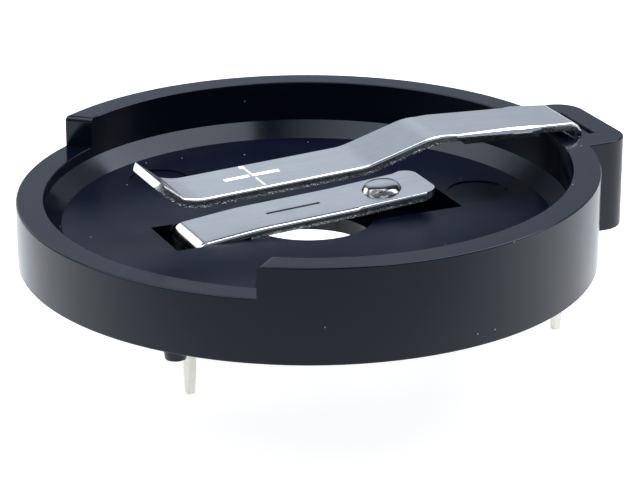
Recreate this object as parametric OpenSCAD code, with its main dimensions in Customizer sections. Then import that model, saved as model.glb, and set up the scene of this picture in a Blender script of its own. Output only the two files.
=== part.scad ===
// Coin cell holder: a round moulded pocket, a spring contact over it and a spring contact in it.
// Millimetres, +Z up. The origin is the pocket's axis on the board's top, where the feet stand.
// +X points from the pocket's centre to the block that holds the positive contact's leg.
// Round walls, bores and cones are true circles. Each contact is one strip outline, bent by named radii.

/* [Housing] */
// outer diameter of the round wall
body_d = 22.86; // [22.4:0.01:26]
// thickness of the round wall above the seat
wall_t = 1.08; // [0.8:0.01:1.2]
// height of the high wall above the moulding's underside
wall_h = 3.77; // [3.4:0.01:5]
// height of the low wall, where the cell goes in
low_wall_h = 2.54; // [2.3:0.01:3.2]
// half of the angle that the low wall spans, at its outside
low_half_deg = 55.2; // [40:0.1:62]
// angle between each step's face and the X axis
low_face_deg = 41; // [35:1:55]
// how far the low part is turned past straight across from the leg block
low_turn_deg = 1.3; // [0:0.1:5]
// thickness of the floor
floor_t = 1.5; // [1.35:0.05:1.9]

/* [Pocket] */
// how far the sloping seat comes in from the wall
seat_in = 0.67; // [0.4:0.01:0.9]
// height of the sloping seat above the floor
seat_h = 0.6; // [0.4:0.01:0.75]
// diameter of the hole in the floor's centre
hole_d = 5.2; // [4:0.1:5.6]
// distance of the round ejector marks from the axis
mark_ring_r = 7.5; // [7.3:0.05:7.9]
// diameter of each round ejector mark
mark_d = 2.44; // [1.6:0.02:2.6]
// depth of each round ejector mark
mark_depth = 0.06; // [0.03:0.01:0.2]

/* [Leg block] */
// how far the block stands out from the round wall
block_out = 1.68; // [1.2:0.02:2.4]
// width of the block
block_w = 5.3; // [4.4:0.1:8]
// radius of the block's two outer corners
block_corner_r = 1.1; // [0.3:0.05:1.15]
// how far the shallow relief reaches out past the leg
relief_out = 0.58; // [0.3:0.02:0.9]
// depth of the shallow relief in the block's top
relief_depth = 0.1; // [0.05:0.01:0.3]

/* [Feet] */
// height of each foot, the gap between the moulding and the board
foot_h = 0.45; // [0.3:0.05:1]
// diameter of each foot where it meets the moulding
foot_d = 1.04; // [0.8:0.02:1.2]
// diameter of each foot's flat end
foot_end_d = 0.8; // [0.6:0.02:0.9]
// distance from each foot's centre to the outer wall
foot_in = 0.7; // [0.6:0.05:1.2]
// angle of the feet from the X axis
foot_deg = 39; // [25:1:55]

/* [Contact strip] */
// thickness of the strip that both contacts are cut from
strip_t = 0.3; // [0.25:0.01:0.35]
// width of both strips
strip_w = 2.7; // [2.2:0.05:3]
// width of each pin
pin_w = 0.6; // [0.4:0.05:1]
// how far each pin reaches below the board's top
pin_below = 4.7; // [2.5:0.1:6]
// length of the taper at a pin's tip
pin_taper = 1; // [0.4:0.1:1.5]
// width of a pin's tip
pin_tip_w = 0.3; // [0.2:0.02:0.36]
// thickness of moulding left under each contact's shoulders
ledge_t = 0.5; // [0.4:0.05:0.8]
// width of the grooves that draw the polarity marks
sign_w = 0.18; // [0.1:0.01:0.3]
// length of the strokes of the polarity marks
sign_len = 2.3; // [1.5:0.1:2.4]
// depth of the grooves that draw the polarity marks
sign_depth = 0.05; // [0.03:0.01:0.1]

/* [Positive contact] */
// how far the positive leg's outer face stands past the round wall's outside
pos_leg_out = 0.02; // [-0.1:0.01:0.1]
// outer radius of the bend above the leg
pos_bend_r = 0.45; // [0.4:0.01:0.6]
// gap between the strip and the top of the wall, at the leg
pos_lift = 0.19; // [0.1:0.01:0.5]
// length of the upper flat, from the leg to the ramp
pos_flat_run = 6.7; // [6:0.05:7.2]
// rise of the upper flat over its first two fifths
pos_rise_near = 0.19; // [0.1:0.01:0.3]
// rise of the upper flat over the rest
pos_rise_far = 0.12; // [0.05:0.01:0.2]
// length of the ramp along X
pos_ramp_run = 2.8; // [2.4:0.05:3.2]
// height that the ramp drops
pos_ramp_drop = 0.81; // [0.6:0.01:1]
// length of the lower arm along X, from the ramp to where it starts to rise
pos_arm_run = 7.1; // [6.8:0.05:7.5]
// height that the lower arm drops
pos_arm_drop = 0.34; // [0.25:0.01:0.45]
// length along X of the arm's toe, the last stretch before the tip
pos_toe_run = 0.62; // [0.55:0.01:0.8]
// height that the toe rises
pos_toe_rise = 0.15; // [0.08:0.01:0.2]
// radius of the bend before the toe
pos_toe_r = 2.4; // [1:0.1:2.8]
// angle of the turned-up tip
pos_tip_deg = 38; // [32:1:46]
// length of the turned-up tip, from its bend's corner
pos_tip_len = 1.19; // [1:0.01:1.4]
// radius of the tip's bend, on its inner side
pos_tip_r = 0.5; // [0.2:0.05:0.7]
// radius of the tip's two corners
pos_end_r = 0.35; // [0.1:0.05:0.6]
// distance from the leg to the near end of the side flanges
flange_from_leg = 1.85; // [1.4:0.05:2.2]
// length of the side flanges
flange_len = 3.8; // [3:0.05:4]
// depth of the side flanges, from the strip's top
flange_depth = 0.43; // [0.4:0.01:0.6]
// how far each flange stands out past the strip's edge
flange_out = 0.05; // [0.02:0.01:0.15]
// distance of the positive mark's centre from the pocket's axis
pos_sign_x = 2.37; // [2:0.01:3]

/* [Negative contact] */
// distance from the pocket's axis to the negative leg's outer face
neg_leg_x = 5.25; // [5.1:0.01:5.6]
// outer radius of the bend above the leg
neg_bend_r = 0.5; // [0.42:0.01:0.6]
// height of the strip's corner above the floor
neg_corner_up = 0.06; // [0.04:0.01:0.2]
// rise of the strip over its first part
neg_rise_1 = 0.3; // [0.25:0.01:0.4]
// length of the first part along X
neg_run_1 = 2.65; // [2.3:0.05:3]
// rise of the strip over its middle part
neg_rise_2 = 0.21; // [0.15:0.01:0.3]
// length of the middle part along X
neg_run_2 = 4.1; // [3.6:0.05:4.4]
// rise of the strip over its last part
neg_rise_3 = 0.29; // [0.2:0.01:0.4]
// length of the last part along X
neg_run_3 = 3.6; // [3.2:0.05:3.65]
// radius of the free end's corners
neg_end_r = 0.6; // [0.3:0.05:1]
// diameter of the pressed dome
dome_d = 1.6; // [1.2:0.05:1.9]
// diameter of the dome's nearly flat crown
dome_crown_d = 1.24; // [1:0.02:1.3]
// height of the pressed dome above the strip
dome_h = 0.26; // [0.12:0.01:0.28]
// distance from the free end to the dome's centre
dome_from_end = 1.9; // [1.6:0.05:2.2]
// distance of the negative mark's centre from the pocket's axis
neg_sign_x = 0.64; // [0.4:0.02:0.8]

/* [Clearances] */
// gap at each edge of a leg in its slot
leg_side_gap = 0.04; // [0.02:0.01:0.1]
// gap at the outer face of a leg in its slot
leg_face_gap = 0.04; // [0.02:0.01:0.08]
// length of the open slot behind the negative leg
neg_slot_open = 0.85; // [0.5:0.05:1]
// gap between the recess and the strip's free end
recess_end_gap = 1; // [0.8:0.05:1.1]
// depth of the recess that the free end springs into
recess_depth = 0.9; // [0.6:0.05:1]

/* [Hidden] */

body_r = body_d / 2;
pocket_r = body_r - wall_t;
low_z = foot_h + low_wall_h;
wall_z = foot_h + wall_h;
floor_z = foot_h + floor_t;
ledge_z = foot_h + ledge_t;
step_x = -body_r * cos(low_half_deg);
step_y = body_r * sin(low_half_deg);
half_w = strip_w / 2;
slot_half = half_w + leg_side_gap;
pin_slot_half = pin_w / 2 + leg_side_gap;
cut = 0.5;

// positive contact, on the strip's top line
pos_x = body_r + pos_leg_out;
pos_in_x = pos_x - strip_t;
pos_z0 = wall_z + pos_lift + strip_t;
pos_x1 = pos_x - 0.4 * pos_flat_run;
pos_z1 = pos_z0 + pos_rise_near;
pos_x2 = pos_x - pos_flat_run;
pos_z2 = pos_z1 + pos_rise_far;
pos_x3 = pos_x2 - pos_ramp_run;
pos_z3 = pos_z2 - pos_ramp_drop;
pos_x4 = pos_x3 - pos_arm_run;
pos_z4 = pos_z3 - pos_arm_drop;
pos_arm_deg = atan2(pos_arm_drop, pos_arm_run);
pos_x5 = pos_x4 - pos_toe_run;
pos_z5 = pos_z4 + pos_toe_rise;
pos_tip_x = pos_x5 - pos_tip_len * cos(pos_tip_deg) - strip_t * sin(pos_tip_deg);
flange_x1 = pos_x - flange_from_leg;
flange_x0 = flange_x1 - flange_len;

// negative contact, on the strip's top line
neg_x = -neg_leg_x;
neg_in_x = neg_x + strip_t;
neg_z0 = floor_z + neg_corner_up;
neg_x1 = neg_x + neg_run_1;
neg_z1 = neg_z0 + neg_rise_1;
neg_x2 = neg_x1 + neg_run_2;
neg_z2 = neg_z1 + neg_rise_2;
neg_x3 = neg_x2 + neg_run_3;
neg_z3 = neg_z2 + neg_rise_3;
neg_slope_1 = neg_rise_1 / neg_run_1;
neg_bend_x = neg_x + neg_bend_r;
neg_bed_z = neg_z0 + neg_slope_1 * neg_bend_r - strip_t - 0.01;
neg_bed_x = neg_x + (floor_z + strip_t - neg_z0) / neg_slope_1 + 0.1;
neg_deg_2 = atan2(neg_rise_2, neg_run_2);
neg_deg_3 = atan2(neg_rise_3, neg_run_3);
dome_x = neg_x3 - dome_from_end;
recess_x = neg_x3 + recess_end_gap;

// a corner rounded by radius r, as points on its arc
function unit(v) = v / norm(v);
function turn(a) = a > 180 ? a - 360 : a < -180 ? a + 360 : a;
function arc_at(a, b, c, r, n) =
  let (
    u = unit(a - b),
    v = unit(c - b),
    half = acos(u * v) / 2,
    o = b + unit(u + v) * r / sin(half),
    p = b + u * r / tan(half) - o,
    q = b + v * r / tan(half) - o,
    a0 = atan2(p[1], p[0]),
    da = turn(atan2(q[1], q[0]) - a0)
  )
  [for (i = [0:n]) o + r * [cos(a0 + da * i / n), sin(a0 + da * i / n)]];

// a line of points with each inner corner rounded by its own radius
function bent(pts, radii, n) = [
  pts[0],
  for (i = [1:len(pts) - 2])
    each arc_at(pts[i - 1], pts[i], pts[i + 1], radii[i - 1], n[i - 1]),
  pts[len(pts) - 1],
];

// the same line moved sideways by t, to its left
function left_of(v) = [-v[1], v[0]];
function beside(p, t) =
  let (m = len(p) - 1)
  [
    for (i = [0:m])
      let (
        d0 = unit(i == 0 ? p[1] - p[0] : p[i] - p[i - 1]),
        d1 = unit(i == m ? p[m] - p[m - 1] : p[i + 1] - p[i]),
        w = unit(left_of(d0) + left_of(d1))
      )
      p[i] + w * t / (w * left_of(d0)),
  ];
function reversed(p) = [for (i = [len(p) - 1:-1:0]) p[i]];

// an outline in X and Z, made into a slab between two Y values
module slab(y0, y1) {
  translate([0, y1, 0])
    rotate([90, 0, 0])
      linear_extrude(height = y1 - y0)
        children();
}

// a strip of the contacts' stock, from its top line; side is +1 when the strip lies left of the line
module strip(top, side) {
  slab(-half_w, half_w)
    polygon(concat(top, reversed(beside(top, side * strip_t))));
}

// the pin under a leg, as a plate from one X to another
module pin(x0, x1) {
  translate([x0, 0, 0])
    rotate([90, 0, 90])
      linear_extrude(height = x1 - x0)
        polygon([
          [-pin_w / 2, ledge_z + cut],
          [-pin_w / 2, -pin_below + pin_taper],
          [-pin_tip_w / 2, -pin_below],
          [pin_tip_w / 2, -pin_below],
          [pin_w / 2, -pin_below + pin_taper],
          [pin_w / 2, ledge_z + cut],
        ]);
}

// a groove on a slanting strip, centred on (x, z), along the strip or across it
module groove(x, z, deg, len_x, len_y) {
  translate([x, 0, z])
    rotate([0, -deg, 0])
      translate([-len_x / 2, -len_y / 2, -sign_depth])
        cube([len_x, len_y, sign_depth + cut]);
}

// the block's outline seen from above, with two round corners
module block_outline() {
  out_x = body_r + block_out;
  c = block_corner_r;
  translate([0, -block_w / 2])
    square([out_x - c, block_w]);
  translate([0, -block_w / 2 + c])
    square([out_x, block_w - 2 * c]);
  for (s = [-1, 1])
    translate([out_x - c, s * (block_w / 2 - c)])
      circle(r = c, $fn = 48);
}

module housing() {
  color([0.03, 0.032, 0.04])
    difference() {
      union() {
        translate([0, 0, foot_h])
          cylinder(h = wall_h, r = body_r, $fn = 180);
        translate([0, 0, foot_h])
          linear_extrude(height = wall_h)
            block_outline();
        for (sx = [-1, 1], sy = [-1, 1])
          translate([
            sx * (body_r - foot_in) * cos(foot_deg),
            sy * (body_r - foot_in) * sin(foot_deg),
            0,
          ])
            cylinder(h = foot_h + 0.2, r1 = foot_end_d / 2, r2 = foot_d / 2, $fn = 32);
      }

      // pocket with its sloping seat
      translate([0, 0, floor_z + seat_h])
        cylinder(h = wall_h, r = pocket_r, $fn = 180);
      translate([0, 0, floor_z])
        cylinder(h = seat_h, r1 = pocket_r - seat_in, r2 = pocket_r, $fn = 180);

      // low part of the wall
      translate([0, 0, low_z])
        rotate([0, 0, low_turn_deg])
          linear_extrude(height = wall_h)
            polygon([
              [step_x + step_y / tan(low_face_deg), 0],
              [step_x - step_y / tan(low_face_deg), 2 * step_y],
              [-3 * body_r, 2 * step_y],
              [-3 * body_r, -2 * step_y],
              [step_x - step_y / tan(low_face_deg), -2 * step_y],
            ]);

      // hole in the floor and round ejector marks
      translate([0, 0, foot_h - cut])
        cylinder(h = floor_t + 2 * cut, r = hole_d / 2, $fn = 96);
      for (a = [0, 120, 240])
        rotate([0, 0, a])
          translate([mark_ring_r, 0, floor_z - mark_depth])
            cylinder(h = mark_depth + cut, r = mark_d / 2, $fn = 48);

      // recess that the negative contact's free end springs into
      translate([0, -slot_half, floor_z - recess_depth])
        cube([recess_x, 2 * slot_half, recess_depth + cut]);

      // slot for the negative leg, open behind it, and the bed in front of it
      translate([neg_x - neg_slot_open, -slot_half, ledge_z])
        cube([neg_slot_open + strip_t, 2 * slot_half, floor_t + cut]);
      translate([neg_x, -slot_half, neg_bed_z - neg_bend_r + 0.15])
        cube([neg_bend_r, 2 * slot_half, floor_t]);
      translate([neg_x, -slot_half, neg_bed_z])
        cube([neg_bed_x - neg_x, 2 * slot_half, floor_t]);
      translate([neg_x - leg_face_gap, -pin_slot_half, foot_h - cut])
        cube([leg_face_gap + strip_t, 2 * pin_slot_half, floor_t]);

      // slot for the positive leg and the shallow relief round it
      translate([pos_in_x, -slot_half, ledge_z])
        cube([strip_t + leg_face_gap, 2 * slot_half, wall_h]);
      translate([pos_in_x, -slot_half, wall_z - relief_depth])
        cube([strip_t + relief_out, 2 * slot_half, relief_depth + cut]);
      translate([pos_in_x, -pin_slot_half, foot_h - cut])
        cube([strip_t + leg_face_gap, 2 * pin_slot_half, wall_h]);
    }
}

module positive_contact() {
  top = bent(
    [
      [pos_x, ledge_z],
      [pos_x, pos_z0],
      [pos_x1, pos_z1],
      [pos_x2, pos_z2],
      [pos_x3, pos_z3],
      [pos_x4, pos_z4],
      [pos_x5, pos_z5],
      [pos_x5 - pos_tip_len * cos(pos_tip_deg), pos_z5 + pos_tip_len * sin(pos_tip_deg)],
    ],
    [pos_bend_r, 40, 2.6, 3, pos_toe_r, pos_tip_r],
    [10, 4, 6, 6, 6, 6]
  );
  under_x1 = flange_x1 - flange_depth / 3;
  under_x0 = flange_x0 + flange_depth;
  mark_z = pos_z3 - (pos_x3 + pos_sign_x) * tan(pos_arm_deg);
  color([0.74, 0.75, 0.77])
    difference() {
      union() {
        intersection() {
          strip(top, 1);
          mirror([1, 0, 0])
            end_outline(-pos_x, -pos_tip_x, pos_end_r);
        }
        pin(pos_in_x, pos_x);
        for (s = [-1, 1])
          slab(
            s < 0 ? -half_w - flange_out : half_w + flange_out - strip_t,
            s < 0 ? -half_w - flange_out + strip_t : half_w + flange_out
          )
            intersection() {
              polygon(concat(top, reversed(beside(top, flange_depth))));
              polygon([
                [flange_x0, pos_z1 + cut],
                [flange_x0, pos_line(flange_x0) - strip_t / 2],
                [under_x0, pos_line(under_x0) - flange_depth - 0.05],
                [under_x1, pos_line(under_x1) - flange_depth - 0.05],
                [flange_x1, pos_line(flange_x1) - strip_t / 2],
                [flange_x1, pos_z1 + cut],
              ]);
            }
      }
      groove(-pos_sign_x, mark_z, pos_arm_deg, sign_len, sign_w);
      groove(-pos_sign_x, mark_z, pos_arm_deg, sign_w, sign_len);
    }
}

// height of the positive strip's top over its upper flat
function pos_line(x) =
  x > pos_x1
    ? pos_z0 + (pos_x - x) * pos_rise_near / (pos_x - pos_x1)
    : pos_z1 + (pos_x1 - x) * pos_rise_far / (pos_x1 - pos_x2);

module negative_contact() {
  top = bent(
    [
      [neg_x, ledge_z],
      [neg_x, neg_z0],
      [neg_x1, neg_z1],
      [neg_x2, neg_z2],
      [neg_x3, neg_z3],
    ],
    [neg_bend_r, 20, 20],
    [10, 6, 6]
  );
  dome_z = neg_z3 - dome_from_end * tan(neg_deg_3);
  mark_z = neg_z1 + (-neg_sign_x - neg_x1) * tan(neg_deg_2);
  color([0.74, 0.75, 0.77])
    difference() {
      union() {
        intersection() {
          strip(top, -1);
          end_outline(neg_x, neg_x3, neg_end_r);
        }
        pin(neg_x, neg_in_x);
        translate([dome_x, 0, dome_z])
          rotate([0, -neg_deg_3, 0])
            dome(dome_d, dome_crown_d, strip_t / 2);
      }
      translate([dome_x, 0, dome_z - strip_t])
        rotate([0, -neg_deg_3, 0])
          dome(dome_d - strip_t, dome_crown_d - strip_t, strip_t);
      groove(-neg_sign_x, mark_z, neg_deg_2, sign_len, sign_w);
    }
}

// the pressed dome: steep flanks with round shoulders under a low crown, going down by a root
module dome(foot, crown, root) {
  flank = (foot - crown) / 2;
  rotate_extrude($fn = 48)
    polygon([
      [0, -root],
      [foot / 2, -root],
      [foot / 2, 0],
      [foot / 2 - flank * 0.33, dome_h * 0.38],
      [foot / 2 - flank * 0.66, dome_h * 0.65],
      [crown / 2, dome_h * 0.82],
      [crown * 0.37, dome_h * 0.92],
      [crown * 0.2, dome_h * 0.98],
      [0, dome_h],
    ]);
}

// a strip's shape seen from above, from its leg at x0 to its free end at x1, with round corners there
module end_outline(x0, x1, r) {
  translate([0, 0, ledge_z - cut])
    linear_extrude(height = 2 * wall_z)
      union() {
        translate([x0 - cut, -half_w])
          square([x1 - r - x0 + cut, strip_w]);
        translate([x1 - 2 * r, -half_w + r])
          square([2 * r, strip_w - 2 * r]);
        for (s = [-1, 1])
          translate([x1 - r, s * (half_w - r)])
            circle(r = r, $fn = 48);
      }
}

housing();
positive_contact();
negative_contact();
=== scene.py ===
# %% [markdown]
# # A coin cell holder, dressed in Blender
# The holder is one black moulding and two bent contact strips. Their sizes are settled in the CAD
# model, so this lesson starts from it: it rounds the edges, gives each surface its finish, and
# lights the part on a pale studio floor. Everything is in metres, in the CAD model's own frame.

# %% Load the CAD model
from math import cos, pi, radians, sin

import bmesh
import bpy
from mathutils import Matrix, Vector


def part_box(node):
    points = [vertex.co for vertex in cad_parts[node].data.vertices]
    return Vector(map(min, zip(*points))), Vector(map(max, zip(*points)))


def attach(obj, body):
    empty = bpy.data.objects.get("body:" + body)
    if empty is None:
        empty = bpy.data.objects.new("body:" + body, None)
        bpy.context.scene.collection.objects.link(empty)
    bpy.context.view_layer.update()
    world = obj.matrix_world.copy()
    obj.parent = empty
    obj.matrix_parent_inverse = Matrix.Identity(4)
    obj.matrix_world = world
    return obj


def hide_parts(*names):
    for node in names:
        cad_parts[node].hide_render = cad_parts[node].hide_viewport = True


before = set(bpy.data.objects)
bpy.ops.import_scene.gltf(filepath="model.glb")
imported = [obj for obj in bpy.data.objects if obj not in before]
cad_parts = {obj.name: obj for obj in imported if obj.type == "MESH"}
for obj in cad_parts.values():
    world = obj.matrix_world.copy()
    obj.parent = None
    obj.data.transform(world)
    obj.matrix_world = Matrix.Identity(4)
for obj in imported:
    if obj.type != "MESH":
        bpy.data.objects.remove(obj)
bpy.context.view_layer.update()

MM = 0.001


def in_mm(lengths, digits=2):
    return [round(length / MM, digits) for length in lengths]


print("nodes:", sorted(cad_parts))

# %% [markdown]
# The sizes that the later steps lean on are read from the CAD boxes, not typed again. A box can't
# give the heights inside the moulding or the thickness of its wall, so those few are named here.

# %% Measure the nodes
housing_low, housing_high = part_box("housing")
positive_low, positive_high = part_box("positive_contact")
negative_low, negative_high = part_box("negative_contact")

wall_thickness = 1.08 * MM
wall_outside = -housing_low.x
wall_inside = wall_outside - wall_thickness
wall_top = housing_high.z
low_wall_top = 2.99 * MM
pocket_floor = 1.95 * MM
underside = 0.45 * MM
half_strip = negative_high.y
half_flange = positive_high.y
pin_tips = positive_low.z
print("wall outside, inside and top in mm:", in_mm((wall_outside, wall_inside, wall_top)))
print("strip and flange width in mm:", in_mm((2 * half_strip, 2 * half_flange)))

# %% [markdown]
# ## Tools for shaping
# A moulding and a stamped strip have no knife-sharp edges: the mould is polished at its corners,
# and the press drags the strip's edge round. On glossy black plastic that small radius is a thin
# light line, and on plated metal a bright one. The edges could be rounded in the CAD model too,
# but radii this small would only make it heavy, so a bevel in edit mode makes them here. The CAD
# mesh is never changed: each piece starts as a copy of its solid, with doubled points merged and
# flat areas joined into whole faces. The copy gets one empty slot for each finish it will carry.

# %% Copy the solids
merge_distance = 0.0005 * MM
flat_angle = radians(0.3)


def work_on(piece):
    """Leave only this piece selected and active."""
    if bpy.context.mode != "OBJECT":
        bpy.ops.object.mode_set(mode="OBJECT")
    bpy.ops.object.select_all(action="DESELECT")
    piece.select_set(True)
    bpy.context.view_layer.objects.active = piece


def copy_of(node, name, finishes):
    """A workable copy of a CAD solid, with that many empty slots."""
    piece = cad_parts[node].copy()
    piece.data = piece.data.copy()
    for key in list(piece.keys()):
        del piece[key]
    piece.name = piece.data.name = name
    piece.parent = None
    piece.data.materials.clear()
    for _ in range(finishes):
        piece.data.materials.append(None)
    bpy.context.scene.collection.objects.link(piece)
    work_on(piece)
    bpy.ops.mesh.customdata_custom_splitnormals_clear()
    bpy.ops.object.mode_set(mode="EDIT")
    bpy.ops.mesh.select_all(action="SELECT")
    bpy.ops.mesh.remove_doubles(threshold=merge_distance)
    bpy.ops.mesh.mark_sharp(clear=True)
    bpy.ops.mesh.dissolve_limited(angle_limit=flat_angle)
    bpy.ops.object.mode_set(mode="OBJECT")
    print(name, "starts with", len(piece.data.polygons), "faces")
    return piece


housing = copy_of("housing", "housing_moulding", finishes=2)
positive = copy_of("positive_contact", "positive_strip", finishes=5)
negative = copy_of("negative_contact", "negative_strip", finishes=4)

# %% [markdown]
# Points and edges are picked by a small test on each of them, so the same few lines serve every
# rim. Picking them by hand would have to be done again after each change of the CAD model.

# %% Helpers: pick points or edges, move and round them
def pick(piece, kind, wanted):
    """Enter edit mode with only those points (VERT) or edges (EDGE) selected that pass a test."""
    work_on(piece)
    bpy.ops.object.mode_set(mode="EDIT")
    bpy.ops.mesh.select_mode(type=kind)
    bpy.ops.mesh.select_all(action="DESELECT")
    mesh = bmesh.from_edit_mesh(piece.data)
    picked = [part for part in (mesh.verts if kind == "VERT" else mesh.edges) if wanted(part)]
    for part in picked:
        part.select = True
    count = len(picked)
    bmesh.update_edit_mesh(piece.data)
    return count


def move_points(piece, wanted, shift):
    count = pick(piece, "VERT", wanted)
    bpy.ops.transform.translate(value=shift)
    bpy.ops.object.mode_set(mode="OBJECT")
    print(piece.name, "has", count, "points moved by", in_mm(shift, 3), "mm")


def round_edges(piece, wanted, width, steps=3, profile=0.5, finish=-1):
    """Bevel the edges that pass the test, and give the new faces a finish slot."""
    count = pick(piece, "EDGE", lambda edge: edge.is_manifold and wanted(edge))
    bpy.ops.mesh.bevel(
        offset=width,
        segments=steps,
        profile=profile,
        material=finish,
        clamp_overlap=False,
        face_strength_mode="AFFECTED",
    )
    bpy.ops.object.mode_set(mode="OBJECT")
    print(piece.name, "has", count, "edges rounded by", round(width / MM, 3), "mm")

# %% [markdown]
# The bevel marks its new faces as weak and their neighbours as strong. The smoothing step then lets
# the strong faces decide the shading, so a flat face stays flat right up to its rounded edge. That
# step weighs faces by their area and overlooks tiny ones, so the mesh is enlarged while it runs.

# %% Helper: smooth a piece
def smooth(piece, angle=35):
    """Smooth shading, broken at edges sharper than the angle, with the broad faces kept flat."""
    work_on(piece)
    bpy.ops.object.shade_smooth_by_angle(angle=radians(angle))
    weigh = piece.modifiers.new("keep_flats_flat", "WEIGHTED_NORMAL")
    weigh.mode = "FACE_AREA"
    weigh.weight = 50
    weigh.keep_sharp = True
    weigh.use_face_influence = True
    piece.data.transform(Matrix.Scale(1 / MM, 4))
    bpy.ops.object.modifier_apply(modifier=weigh.name)
    piece.data.transform(Matrix.Scale(MM, 4))
    print(piece.name, "has", len(piece.data.polygons), "faces")

# %% [markdown]
# ## The moulded housing
# The rims of the wall and of the leg block are what the eye meets first. They get a radius of less
# than a tenth of a millimetre. The corner where the wall drops is rounder, because a cell slides
# over it. A rim is told from other edges by its height and its distance from the middle.

# %% Round the housing's rims
same_place = 0.01 * MM
rim_play = 0.02 * MM
rim_radius = 0.06 * MM
drop_radius = 0.2 * MM


def sharper_than(edge, degrees):
    return edge.calc_face_angle() > radians(degrees)


def at_height(edge, z):
    return all(abs(vert.co.z - z) < same_place for vert in edge.verts)


def on_rim(edge):
    """Along the wall's outside or inside, or on the leg block."""
    reach = [vert.co.to_2d().length for vert in edge.verts]
    outside = min(reach) > wall_outside - rim_play
    inside = max(abs(r - wall_inside) for r in reach) < rim_play
    return outside or inside


def drop_corner(edge):
    """The top edge of the step where the wall drops to its low part."""
    on_left = all(vert.co.x < 0 for vert in edge.verts)
    return at_height(edge, wall_top) and on_left and not on_rim(edge) and sharper_than(edge, 35)


round_edges(housing, drop_corner, drop_radius, steps=4)
for rim_height in (wall_top, low_wall_top, underside):
    round_edges(
        housing,
        lambda edge: at_height(edge, rim_height) and on_rim(edge) and sharper_than(edge, 60),
        rim_radius,
    )

# %% [markdown]
# A mould like this is polished where it makes the walls and rims, and left with a fine spark-eroded
# skin on the pocket's floor, which nobody sees once a cell is in. So the floor gets a finish slot
# of its own. The shallow ejector marks in it belong to it, which is why the test has some play.

# %% Mark the pocket's floor
WALLS, POCKET_FLOOR = range(2)
floor_play = 0.08 * MM


def on_pocket_floor(face):
    level = abs(face.center.z - pocket_floor) < floor_play
    return level and face.normal.z > 0.9 and face.center.to_2d().length < wall_inside


for face in housing.data.polygons:
    face.material_index = POCKET_FLOOR if on_pocket_floor(face) else WALLS
floor_faces = [face for face in housing.data.polygons if face.material_index == POCKET_FLOOR]
print("pocket floor faces:", len(floor_faces))
smooth(housing)

# %% [markdown]
# ## The contact strips
# The polarity mark on the positive strip is coined: a small die presses it in, and its far wall
# comes out sloping. Sliding that wall's upper points along the strip's surface gives the slope,
# and the wall then catches the light from above as a bright line. The side wall of the one stroke
# is slid further than the narrow end wall of the other.

# %% Slope the mark's far walls
half_width, side_slide = 0.09 * MM, 0.1 * MM
half_length, end_slide = 1.15 * MM, 0.06 * MM
least_depth = 0.03 * MM


def stands_over(vert):
    """True at the upper end of a short upright edge."""
    for edge in vert.link_edges:
        step = edge.other_vert(vert).co - vert.co
        if step.z < -least_depth and step.to_2d().length < same_place:
            return True
    return False


def slide_far_rim(piece, rim_y, slide):
    def on_far_rim(vert):
        on_line = abs(vert.co.y - rim_y) < same_place
        return on_line and vert.co.z > pocket_floor and stands_over(vert)

    move_points(piece, on_far_rim, (0, slide, 0))


slide_far_rim(positive, half_width, side_slide)
slide_far_rim(positive, half_length, end_slide)

# %% [markdown]
# The punch that cuts a strip from sheet drags its upper edge round, shears the rest of the
# thickness and leaves a thin torn ridge, the burr, along the lower edge. So each long side gets a
# wide radius at the top, widest where the flanges turn down. A side edge is told apart by the faces
# beside it: one looks sideways, and the other looks up.

# %% Round the strips' upper side edges
side_play = 0.004 * MM


def at_side(vert, side_y):
    return abs(abs(vert.co.y) - side_y) < side_play


def side_edge(edge, side_y, looking):
    """On either side, between a sideways face and one looking up (1) or down (-1)."""
    on_line = all(at_side(vert, side_y) for vert in edge.verts)
    above = min(vert.co.z for vert in edge.verts) > underside
    looks = any(face.normal.z * looking > 0.3 for face in edge.link_faces)
    beside = any(abs(face.normal.y) > 0.9 for face in edge.link_faces)
    return on_line and above and looks and beside


for strip, side_y, radius, steps in (
    (positive, half_flange, 0.26 * MM, 7),
    (positive, half_strip, 0.11 * MM, 5),
    (negative, half_strip, 0.15 * MM, 6),
):
    round_edges(strip, lambda edge: side_edge(edge, side_y, 1), radius, steps)

# %% [markdown]
# The faces of a strip differ in finish. The broad ones are the rolled and plated sheet, and the
# sides are sheared. Over the wall, the sides of the flanges are smoother, and their darker colour
# is painted shade. The pins are tinned.

# %% Tell the strips' finishes apart
ROLLED, SHEARED, BURR, TINNED, SHADED_FLANGE_SIDE = range(5)
past_strip = half_strip + 0.03 * MM
flange_start = min(v.co.x for v in positive.data.vertices if abs(v.co.y) > past_strip)


def finish_of(face):
    if face.center.z < underside:
        return TINNED
    if abs(face.normal.y) < 0.995:
        return ROLLED
    # Sides over the wall take the flange finish, whose darker colour is painted shade.
    return SHADED_FLANGE_SIDE if face.center.x > flange_start else SHEARED


for strip in (positive, negative):
    for face in strip.data.polygons:
        face.material_index = finish_of(face)
    used = sorted({face.material_index for face in strip.data.polygons})
    print(strip.name, "has finishes", used)

# %% [markdown]
# The burr is made by a square bevel, which adds two narrow bands round the lower edge without
# changing the shape, and by pulling the corner between them down a few hundredths of a millimetre.
# It ends where the flanges begin, and where the negative strip dips below the pocket's floor.

# %% Pull the burr
burr_width = 0.05 * MM
burr_overlap = 0.05 * MM


def pull_burr(piece, x_end, drop):
    def lower_edge(edge):
        free = all(vert.co.x < x_end and vert.co.z > pocket_floor for vert in edge.verts)
        return free and side_edge(edge, half_strip, -1)

    def on_ridge(vert):
        bands = [face for face in vert.link_faces if face.material_index == BURR]
        looks_down = any(face.normal.z < -0.3 for face in bands)
        return at_side(vert, half_strip) and len(bands) >= 2 and looks_down

    round_edges(piece, lower_edge, burr_width, steps=2, profile=1.0, finish=BURR)
    move_points(piece, on_ridge, (0, 0, -drop))


pull_burr(positive, x_end=flange_start + burr_overlap, drop=0.06 * MM)
pull_burr(negative, x_end=wall_outside, drop=0.05 * MM)
smooth(positive, angle=24)
smooth(negative)

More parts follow.
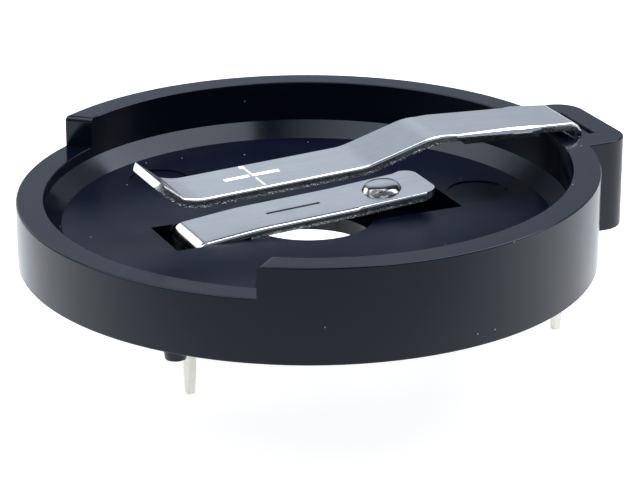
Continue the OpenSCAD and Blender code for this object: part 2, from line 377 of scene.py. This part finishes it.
# %% [markdown]
# ## Finishes
# Two effects serve several materials, so each is a node group: a fine unevenness that breaks up the
# reflections, and a few specks of dust. Both read Object coordinates, which sit still on the piece.

# %% Node groups: fine unevenness and dust
def new_group(name, inputs, outputs):
    group = bpy.data.node_groups.new(name, "ShaderNodeTree")
    for socket, kind, value in inputs:
        made = group.interface.new_socket(socket, in_out="INPUT", socket_type=kind)
        if value is not None:
            made.default_value = value
    for socket in outputs:
        group.interface.new_socket(socket, in_out="OUTPUT", socket_type="NodeSocketFloat")
    return group, group.nodes.new("NodeGroupInput"), group.nodes.new("NodeGroupOutput")


uneven, given, result = new_group(
    "fine_unevenness",
    [
        ("Vector", "NodeSocketVector", None),
        ("Scale", "NodeSocketFloat", 800.0),
        ("Fine Scale", "NodeSocketFloat", 6000.0),
    ],
    ["Soft", "Fine"],
)
for socket, scale, detail, roughness in (
    ("Soft", "Scale", 2.0, 0.5),
    ("Fine", "Fine Scale", 3.0, 0.6),
):
    texture = uneven.nodes.new("ShaderNodeTexNoise")
    texture.inputs["Detail"].default_value = detail
    texture.inputs["Roughness"].default_value = roughness
    uneven.links.new(given.outputs["Vector"], texture.inputs["Vector"])
    uneven.links.new(given.outputs[scale], texture.inputs["Scale"])
    uneven.links.new(texture.outputs["Fac"], result.inputs[socket])

dust, given, result = new_group(
    "dust_specks",
    [
        ("Vector", "NodeSocketVector", None),
        ("Size", "NodeSocketFloat", 0.03),
        ("Scale", "NodeSocketFloat", 900.0),
    ],
    ["Mask"],
)
cells = dust.nodes.new("ShaderNodeTexVoronoi")
cells.feature = "F1"
inside = dust.nodes.new("ShaderNodeMath")
inside.operation = "LESS_THAN"
dust.links.new(given.outputs["Vector"], cells.inputs["Vector"])
dust.links.new(given.outputs["Scale"], cells.inputs["Scale"])
dust.links.new(cells.outputs["Distance"], inside.inputs[0])
dust.links.new(given.outputs["Size"], inside.inputs[1])
dust.links.new(inside.outputs["Value"], result.inputs["Mask"])
print("node groups:", sorted(group.name for group in bpy.data.node_groups))

# %% [markdown]
# The materials repeat a few moves: place a group, spread a mask over a range, bump the surface and
# blend two colours. Each is a small helper, so a finish further down reads as a list of what it
# does.

# %% Helpers for the materials
def new_material(name):
    material = bpy.data.materials.new(name)
    material.use_nodes = True
    nodes = material.node_tree.nodes
    place = nodes.new("ShaderNodeTexCoord").outputs["Object"]
    return material, nodes, material.node_tree.links, nodes["Principled BSDF"], place


def place_group(nodes, links, group, coordinates, **values):
    node = nodes.new("ShaderNodeGroup")
    node.node_tree = group
    links.new(coordinates, node.inputs["Vector"])
    for socket, value in values.items():
        node.inputs[socket.replace("_", " ")].default_value = value
    return node.outputs


def spread(nodes, links, source, low, high, from_low=0.3, from_high=0.7):
    """Turn a mask into a range of values."""
    node = nodes.new("ShaderNodeMapRange")
    links.new(source, node.inputs["Value"])
    node.inputs["From Min"].default_value = from_low
    node.inputs["From Max"].default_value = from_high
    node.inputs["To Min"].default_value = low
    node.inputs["To Max"].default_value = high
    return node.outputs["Result"]


def bump(nodes, links, height, depth, strength=1.0, after=None):
    node = nodes.new("ShaderNodeBump")
    node.inputs["Distance"].default_value = depth
    node.inputs["Strength"].default_value = strength
    links.new(height, node.inputs["Height"])
    if after is not None:
        links.new(after, node.inputs["Normal"])
    return node.outputs["Normal"]


def blend_colour(nodes, links, mask, a, b):
    node = nodes.new("ShaderNodeMix")
    node.data_type = "RGBA"
    node.inputs["A"].default_value = (*a, 1)
    node.inputs["B"].default_value = (*b, 1)
    links.new(mask, node.inputs["Factor"])
    return node.outputs["Result"]

# %% [markdown]
# ### Black moulded plastic
# Such a housing is usually nylon or PBT, coloured black right through, and what shows of it is its
# gloss. At a low angle it mirrors the room, and from above it looks deep black. The roughness
# drifts a little over the surface, because no moulding packs quite evenly. A few pale specks are
# dust. The eroded floor is rougher and grainier, so it mirrors the room as a soft sheen only.

# %% Black plastic, polished and spark-eroded
dust_colour = (0.45, 0.46, 0.48)
flow_depth = 0.004 * MM


def black_plastic(name, black, gloss, roughness, grain):
    material, nodes, links, shader, place = new_material(name)
    surface = place_group(nodes, links, uneven, place, Scale=500.0, Fine_Scale=6000.0)
    specks = place_group(nodes, links, dust, place, Size=0.028, Scale=940.0)
    colour = blend_colour(nodes, links, specks["Mask"], black, dust_colour)
    links.new(colour, shader.inputs["Base Color"])
    shader.inputs["Specular IOR Level"].default_value = gloss
    links.new(spread(nodes, links, surface["Soft"], *roughness), shader.inputs["Roughness"])
    skin = bump(nodes, links, surface["Fine"], grain, strength=0.5)
    flow = bump(nodes, links, surface["Soft"], flow_depth, strength=0.3, after=skin)
    links.new(flow, shader.inputs["Normal"])
    print("made", name, "with roughness", roughness)
    return material


polished = black_plastic(
    "black_moulded_plastic",
    black=(0.0015, 0.003, 0.008),
    gloss=0.32,
    roughness=(0.10, 0.20),
    grain=0.0004 * MM,
)
eroded = black_plastic(
    "black_plastic_pocket_floor",
    black=(0.001, 0.003, 0.012),
    gloss=0.28,
    roughness=(0.30, 0.38),
    grain=0.0015 * MM,
)

# %% [markdown]
# ### Plated contact strip
# The strip is rolled spring metal with a bright plating, so it carries faint lines along its
# length. They are far too fine to be modelled one by one. They come from the same noise, with its
# coordinates squeezed along the strip by a Mapping node.

# %% Rolled and plated faces
line_depth = 0.0008 * MM

rolled, nodes, links, shader, place = new_material("plated_strip")
shader.inputs["Metallic"].default_value = 1.0
squeeze = nodes.new("ShaderNodeMapping")
squeeze.inputs["Scale"].default_value = (0.08, 1.0, 1.0)
links.new(place, squeeze.inputs["Vector"])
along = squeeze.outputs["Vector"]
surface = place_group(nodes, links, uneven, place, Scale=700.0, Fine_Scale=6000.0)
lines = place_group(nodes, links, uneven, along, Scale=5000.0, Fine_Scale=9000.0)
line_mask = spread(nodes, links, lines["Soft"], 0.0, 1.0)
tone = blend_colour(nodes, links, line_mask, (0.92, 0.90, 0.88), (0.98, 0.95, 0.92))
links.new(tone, shader.inputs["Base Color"])
links.new(spread(nodes, links, surface["Soft"], 0.14, 0.22), shader.inputs["Roughness"])
links.new(bump(nodes, links, lines["Soft"], line_depth, strength=0.5), shader.inputs["Normal"])
print("made", rolled.name)

# %% [markdown]
# ### Sheared sides and burr
# A sheared face is torn metal: dark from the side, with fine pale scratches. The burr is rougher
# still, and its tiny facets glint where they happen to face the lamp. A strong, very fine bump does
# both. The sides of the flanges are smoother than the sheared ones, and their darker colour is
# painted shade.

# %% Sheared sides, painted shade on the flange sides, and burr
def torn_metal(name, dark, pale, depth, roughness):
    material, nodes, links, shader, place = new_material(name)
    shader.inputs["Metallic"].default_value = 1.0
    surface = place_group(nodes, links, uneven, place, Scale=3000.0, Fine_Scale=15000.0)
    scratches = spread(nodes, links, surface["Fine"], 0.0, 1.0, from_low=0.42, from_high=0.62)
    tone = blend_colour(nodes, links, scratches, dark, pale)
    links.new(tone, shader.inputs["Base Color"])
    links.new(spread(nodes, links, surface["Soft"], *roughness), shader.inputs["Roughness"])
    coarse = bump(nodes, links, surface["Soft"], 2 * depth)
    fine = bump(nodes, links, surface["Fine"], depth, after=coarse)
    links.new(fine, shader.inputs["Normal"])
    print("made", name)
    return material


sheared = torn_metal(
    "sheared_side",
    dark=(0.24, 0.25, 0.24),
    pale=(0.62, 0.62, 0.60),
    depth=0.004 * MM,
    roughness=(0.35, 0.5),
)
# Painted shade: the flanges' sides are coloured darker than the sheared sides.
flange_side_shade = torn_metal(
    "painted_shade_flange_side",
    dark=(0.08, 0.09, 0.09),
    pale=(0.30, 0.30, 0.29),
    depth=0.003 * MM,
    roughness=(0.25, 0.4),
)
burr = torn_metal(
    "torn_burr",
    dark=(0.25, 0.26, 0.25),
    pale=(0.97, 0.97, 0.96),
    depth=0.06 * MM,
    roughness=(0.15, 0.3),
)

# %% [markdown]
# ### Tinned pins
# Only the pins are dipped in solder, so they are duller and warmer than the plated strip above the
# board, and slightly wavy.

# %% Tinned pins
wave_depth = 0.01 * MM

tinned, nodes, links, shader, place = new_material("tinned_pin")
shader.inputs["Metallic"].default_value = 1.0
surface = place_group(nodes, links, uneven, place, Scale=1800.0, Fine_Scale=9000.0)
waves = spread(nodes, links, surface["Soft"], 0.0, 1.0)
tone = blend_colour(nodes, links, waves, (0.66, 0.66, 0.61), (0.80, 0.80, 0.75))
links.new(tone, shader.inputs["Base Color"])
links.new(spread(nodes, links, surface["Soft"], 0.2, 0.34), shader.inputs["Roughness"])
links.new(bump(nodes, links, surface["Soft"], wave_depth, strength=0.7), shader.inputs["Normal"])
print("made", tinned.name)

# %% [markdown]
# ## Assembly
# Each finish goes into its slot, and each dressed piece takes the place of its CAD solid. Nothing
# is moved, because every piece already lies where its solid does.

# %% Put the pieces in place
strip_finishes = (rolled, sheared, burr, tinned)
for piece, node, slot, finishes in (
    (housing, "housing", "housing", (polished, eroded)),
    (positive, "positive_contact", "contact", (*strip_finishes, flange_side_shade)),
    (negative, "negative_contact", "contact", strip_finishes),
):
    for index, finish in enumerate(finishes):
        piece.data.materials[index] = finish
    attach(piece, "root")
    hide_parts(node)
    print(piece.name, "stands for", node, "with", len(finishes), "finishes")

# %% [markdown]
# ## Studio
# The part stands on a pale sheet, on the tips of its pins. A hair's breadth is left between the
# tips and the sheet, so that the two surfaces never share a place.

# %% Floor sheet
floor_z = pin_tips - 0.02 * MM
bpy.ops.object.select_all(action="DESELECT")
bpy.ops.mesh.primitive_plane_add(size=4.0, location=(0, 0, floor_z))
floor = bpy.context.object
floor.name = "studio_floor"
bpy.ops.object.transform_apply(location=True, rotation=False, scale=False)
print("floor at mm:", round(floor_z / MM, 2))

# %% [markdown]
# To the camera the sheet is almost white, and it keeps the part's soft shadow. What the glossy wall
# mirrors of it fades to dark towards the camera, as a sheet does that ends in front of a dark room.
# A real sheet could be curved and lit for that. A ramp from the front of the floor to the back does
# the same here, and can be set one stop at a time.

# %% Sheet's colour in reflections
to_back = Vector((0.415, 0.910, 0.0))
front_end, back_end = -31 * MM, 19 * MM
sheet_stops = (
    (0.00, (0.05, 0.06, 0.07)),
    (0.10, (0.14, 0.16, 0.18)),
    (0.16, (0.22, 0.24, 0.24)),
    (0.28, (0.51, 0.54, 0.54)),
    (0.46, (0.86, 0.88, 0.86)),
    (0.60, (0.85, 0.86, 0.82)),
    (0.66, (0.78, 0.74, 0.70)),
    (0.76, (0.75, 0.71, 0.67)),
    (1.00, (0.41, 0.38, 0.35)),
)


def along_direction(nodes, links, source, direction):
    """How far a vector reaches in a direction."""
    node = nodes.new("ShaderNodeVectorMath")
    node.operation = "DOT_PRODUCT"
    node.inputs[1].default_value = direction
    links.new(source, node.inputs[0])
    return node.outputs["Value"]


def colour_ramp(nodes, links, source, colour_stops):
    node = nodes.new("ShaderNodeValToRGB")
    links.new(source, node.inputs["Fac"])
    stops = node.color_ramp.elements
    for number, (position, colour) in enumerate(colour_stops):
        stop = stops[number] if number < 2 else stops.new(position)
        stop.position = position
        stop.color = (*colour, 1)
    print("colour ramp has", len(stops), "stops")
    return node.outputs["Color"]


paper, nodes, links, shader, place = new_material("pale_paper")
nodes.remove(shader)
behind = along_direction(nodes, links, place, to_back)
depth = spread(nodes, links, behind, 0.0, 1.0, front_end, back_end)
mirrored = colour_ramp(nodes, links, depth, sheet_stops)

# %% [markdown]
# The sheet itself is matt paper, which catches the shadow. Its glow is added only for rays that
# come from the camera, from a reflection or through glass, so it adds no light to matt surfaces.

# %% Pale paper
rays = nodes.new("ShaderNodeLightPath").outputs
shown = nodes.new("ShaderNodeMix")
shown.data_type = "RGBA"
links.new(rays["Is Glossy Ray"], shown.inputs["Factor"])
shown.inputs["A"].default_value = (0.88, 0.88, 0.88, 1)
links.new(mirrored, shown.inputs["B"])
seen = rays["Is Camera Ray"]
for ray in ("Is Glossy Ray", "Is Transmission Ray"):
    either = nodes.new("ShaderNodeMath")
    either.operation = "MAXIMUM"
    links.new(seen, either.inputs[0])
    links.new(rays[ray], either.inputs[1])
    seen = either.outputs["Value"]

sheet = nodes.new("ShaderNodeBsdfDiffuse")
sheet.inputs["Color"].default_value = (0.6, 0.6, 0.6, 1)
glow = nodes.new("ShaderNodeEmission")
links.new(shown.outputs["Result"], glow.inputs["Color"])
links.new(seen, glow.inputs["Strength"])
both = nodes.new("ShaderNodeAddShader")
links.new(sheet.outputs["BSDF"], both.inputs[0])
links.new(glow.outputs["Emission"], both.inputs[1])
links.new(both.outputs["Shader"], nodes["Material Output"].inputs["Surface"])
floor.data.materials.append(paper)
print("made", paper.name)

# %% [markdown]
# The room is a grey band behind the part, which the flat metal mirrors, with a darker gap over it.
# A glossy part is drawn by what it mirrors, so the room is built by height: one level for each
# height that a face of the part looks at.

# %% Room by height
room_colour = Vector((0.50, 0.57, 0.68))
room_levels = (
    (0.00, 1.10),
    (0.12, 0.86),
    (0.28, 0.84),
    (0.37, 1.00),
    (0.44, 0.86),
    (0.53, 0.74),
    (0.60, 0.25),
    (1.00, 0.20),
)

world = bpy.data.worlds.new("studio_room")
bpy.context.scene.world = world
world.use_nodes = True
nodes, links = world.node_tree.nodes, world.node_tree.links
nodes.clear()
direction = nodes.new("ShaderNodeTexCoord").outputs["Generated"]
height = nodes.new("ShaderNodeSeparateXYZ")
links.new(direction, height.inputs["Vector"])
height_stops = [(position, room_colour * level) for position, level in room_levels]
by_height = colour_ramp(nodes, links, height.outputs["Z"], height_stops)

# %% [markdown]
# The room isn't even all round. It is dimmer in front and on the right. A narrow dark gap behind
# leaves the right end of the seat dark, and a pale glow high on the left lights the back of the
# pocket. Each of them grows stronger as a ray comes nearer to one direction.

# %% Dim and light parts of the room
def towards(azimuth, elevation):
    """The direction to a place in the room, from its angles in degrees."""
    a, e = radians(azimuth), radians(elevation)
    return Vector((cos(e) * cos(a), cos(e) * sin(a), sin(e)))


def facing(direction_to, low, high, from_low, from_high):
    """A value that goes from low to high as a ray comes nearer to direction_to."""
    nearness = along_direction(nodes, links, direction, direction_to)
    return spread(nodes, links, nearness, low, high, from_low, from_high)


def cone(azimuth, elevation, outside, inside, outer_angle, inner_angle):
    """The same for a cone, with one value outside it and another inside."""
    edges = (cos(radians(outer_angle)), cos(radians(inner_angle)))
    return facing(towards(azimuth, elevation), outside, inside, *edges)


def scaled_by(value):
    """A node that multiplies its colour by a value."""
    node = nodes.new("ShaderNodeVectorMath")
    node.operation = "SCALE"
    links.new(value, node.inputs["Scale"])
    return node


dimmed_by = facing(-to_back, 1.0, 0.45, 0.1, 0.9)
for dimmer in (cone(0, 0, 1.0, 0.7, 70, 50), cone(100, 18, 1.0, 0.3, 22, 14)):
    product = nodes.new("ShaderNodeMath")
    product.operation = "MULTIPLY"
    links.new(dimmed_by, product.inputs[0])
    links.new(dimmer, product.inputs[1])
    dimmed_by = product.outputs["Value"]
dimmed = scaled_by(dimmed_by)
links.new(by_height, dimmed.inputs[0])
high_left = scaled_by(cone(160, 60, 0.0, 3.2, 40, 12))
high_left.inputs[0].default_value = (0.74, 0.86, 1.0)
print("room nodes so far:", len(nodes))

# %% [markdown]
# The camera itself sees plain white instead of the room, so the part stands before a clean
# background from any side.

# %% Room as the camera sees it
room = nodes.new("ShaderNodeVectorMath")
room.operation = "ADD"
links.new(dimmed.outputs["Vector"], room.inputs[0])
links.new(high_left.outputs["Vector"], room.inputs[1])
eye = nodes.new("ShaderNodeLightPath")
wall_shown = nodes.new("ShaderNodeMix")
wall_shown.data_type = "RGBA"
links.new(eye.outputs["Is Camera Ray"], wall_shown.inputs["Factor"])
links.new(room.outputs["Vector"], wall_shown.inputs["A"])
wall_shown.inputs["B"].default_value = (1, 1, 1, 1)
background = nodes.new("ShaderNodeBackground")
links.new(wall_shown.outputs["Result"], background.inputs["Color"])
surround = nodes.new("ShaderNodeOutputWorld")
links.new(background.outputs["Background"], surround.inputs["Surface"])
print("made", world.name)

# %% [markdown]
# Three softboxes make the bright lines. The one overhead draws the rounded edges, a low one on the
# right draws the edge of the toe, and a small near one behind draws the bend of the negative strip.
# Each is set by the radiance that a mirror would show of it.

# %% Softboxes
def softbox(name, aim, azimuth, elevation, distance, width, height, radiance, colour=(1, 1, 1)):
    """A rectangular lamp that faces aim; radiance is what a mirror would show of it."""
    outwards = towards(azimuth, elevation)
    lamp = bpy.data.lights.new(name, "AREA")
    lamp.shape = "RECTANGLE"
    lamp.size, lamp.size_y = width, height
    lamp.energy = radiance * pi * width * height
    lamp.color = colour
    holder = bpy.data.objects.new(name, lamp)
    bpy.context.scene.collection.objects.link(holder)
    holder.location = aim + distance * outwards
    holder.rotation_euler = (-outwards).to_track_quat("-Z", "Y").to_euler()
    holder.visible_camera = False
    print(name, "gives", round(lamp.energy, 4), "W")


softbox(
    "overhead_softbox",
    aim=Vector((0, 0, 0)),
    azimuth=0,
    elevation=59,
    distance=0.30,
    width=0.30,
    height=0.228,
    radiance=4.1,
    colour=(0.76, 0.84, 1.0),
)
softbox(
    "toe_softbox",
    aim=Vector((0, 0, 0)),
    azimuth=-16,
    elevation=30,
    distance=0.30,
    width=0.10,
    height=0.20,
    radiance=1.6,
)
softbox(
    "bend_softbox",
    aim=Vector((negative_low.x, 0, pocket_floor)),
    azimuth=108,
    elevation=21,
    distance=0.028,
    width=0.0165,
    height=0.0185,
    radiance=1.1,
)

# %% [markdown]
# ## Camera
# A long lens, about twenty degrees above the board, on the side where the wall is low. Its place
# was found from the ellipse of the round wall and the run of the strips.

# %% Camera
camera_distance = 115.63 * MM
camera_roll = radians(0.17)
aim = Vector((0.50, -0.04, 0.91)) * MM
to_camera = towards(245.5, 20.72)
lens = bpy.data.cameras.new("camera")
lens.lens = 164.4
lens.sensor_width = 36.0
lens.clip_start = 0.001
camera = bpy.data.objects.new("camera", lens)
bpy.context.scene.collection.objects.link(camera)
turn = to_camera.to_track_quat("Z", "Y").to_matrix() @ Matrix.Rotation(camera_roll, 3, "Z")
camera.matrix_world = Matrix.Translation(aim + camera_distance * to_camera) @ turn.to_4x4()
bpy.context.scene.camera = camera
bpy.context.scene.view_settings.view_transform = "Standard"
print("camera at mm:", in_mm(camera.matrix_world.translation, 1))
